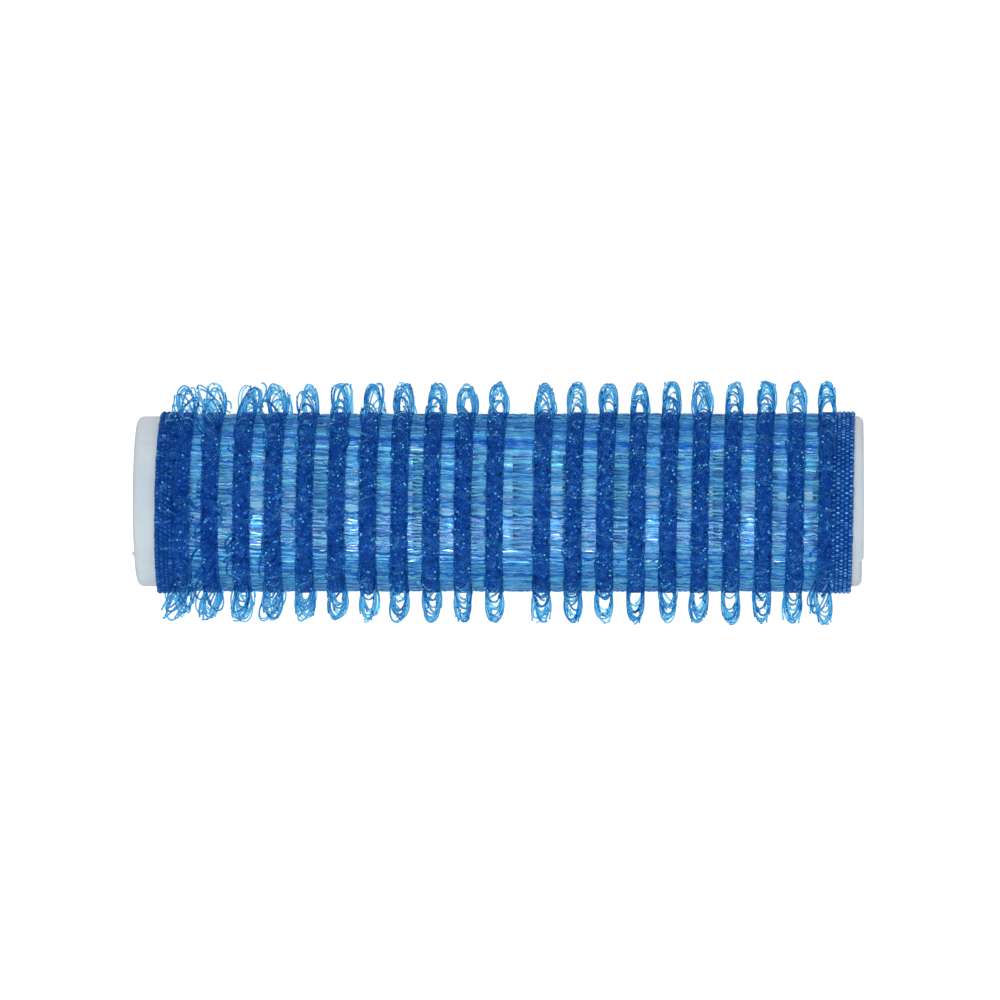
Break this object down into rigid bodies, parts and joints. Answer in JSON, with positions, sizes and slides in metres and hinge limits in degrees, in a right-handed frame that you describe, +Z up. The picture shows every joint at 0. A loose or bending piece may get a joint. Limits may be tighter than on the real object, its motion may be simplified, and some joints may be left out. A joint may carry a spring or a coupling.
{
  "type": "hair roller",
  "caption": "Self-grip hair roller: a moulded lattice tube core inside a woven sleeve with rings of small monofilament hooks.",
  "frame": {"origin": "centre of the roller's footprint, on the surface that its hook tips rest on", "axes": "+X along the roller's axis, towards the end with the narrower bare collar; +Z up, away from the sleeve's seam; +Y across the roller"},
  "size_m": [0.0638, 0.0212, 0.0211],
  "materials": {
    "core_plastic": "satin",
    "ground_yarn": "satin",
    "band_yarn": "satin",
    "hook_filament": "gloss"
  },
  "bodies": {
    "root": {"core_tube": "core_plastic", "ground_cloth": "ground_yarn", "seam_weld": "band_yarn", "selvedge_left": "band_yarn", "selvedge_right": "band_yarn", "woven_band_01": "band_yarn", "woven_band_02": "band_yarn", "woven_band_03": "band_yarn", "woven_band_04": "band_yarn", "woven_band_05": "band_yarn", "woven_band_06": "band_yarn", "woven_band_07": "band_yarn", "woven_band_08": "band_yarn", "woven_band_09": "band_yarn", "woven_band_10": "band_yarn", "woven_band_11": "band_yarn", "woven_band_12": "band_yarn", "woven_band_13": "band_yarn", "woven_band_14": "band_yarn", "woven_band_15": "band_yarn", "woven_band_16": "band_yarn", "woven_band_17": "band_yarn", "woven_band_18": "band_yarn", "woven_band_19": "band_yarn", "woven_band_20": "band_yarn", "woven_band_21": "band_yarn", "hook_row_01": "hook_filament", "hook_row_02": "hook_filament", "hook_row_03": "hook_filament", "hook_row_04": "hook_filament", "hook_row_05": "hook_filament", "hook_row_06": "hook_filament", "hook_row_07": "hook_filament", "hook_row_08": "hook_filament", "hook_row_09": "hook_filament", "hook_row_10": "hook_filament", "hook_row_11": "hook_filament", "hook_row_12": "hook_filament", "hook_row_13": "hook_filament", "hook_row_14": "hook_filament", "hook_row_15": "hook_filament", "hook_row_16": "hook_filament", "hook_row_17": "hook_filament", "hook_row_18": "hook_filament", "hook_row_19": "hook_filament", "hook_row_20": "hook_filament", "hook_row_21": "hook_filament"}
  },
  "joints": []
}
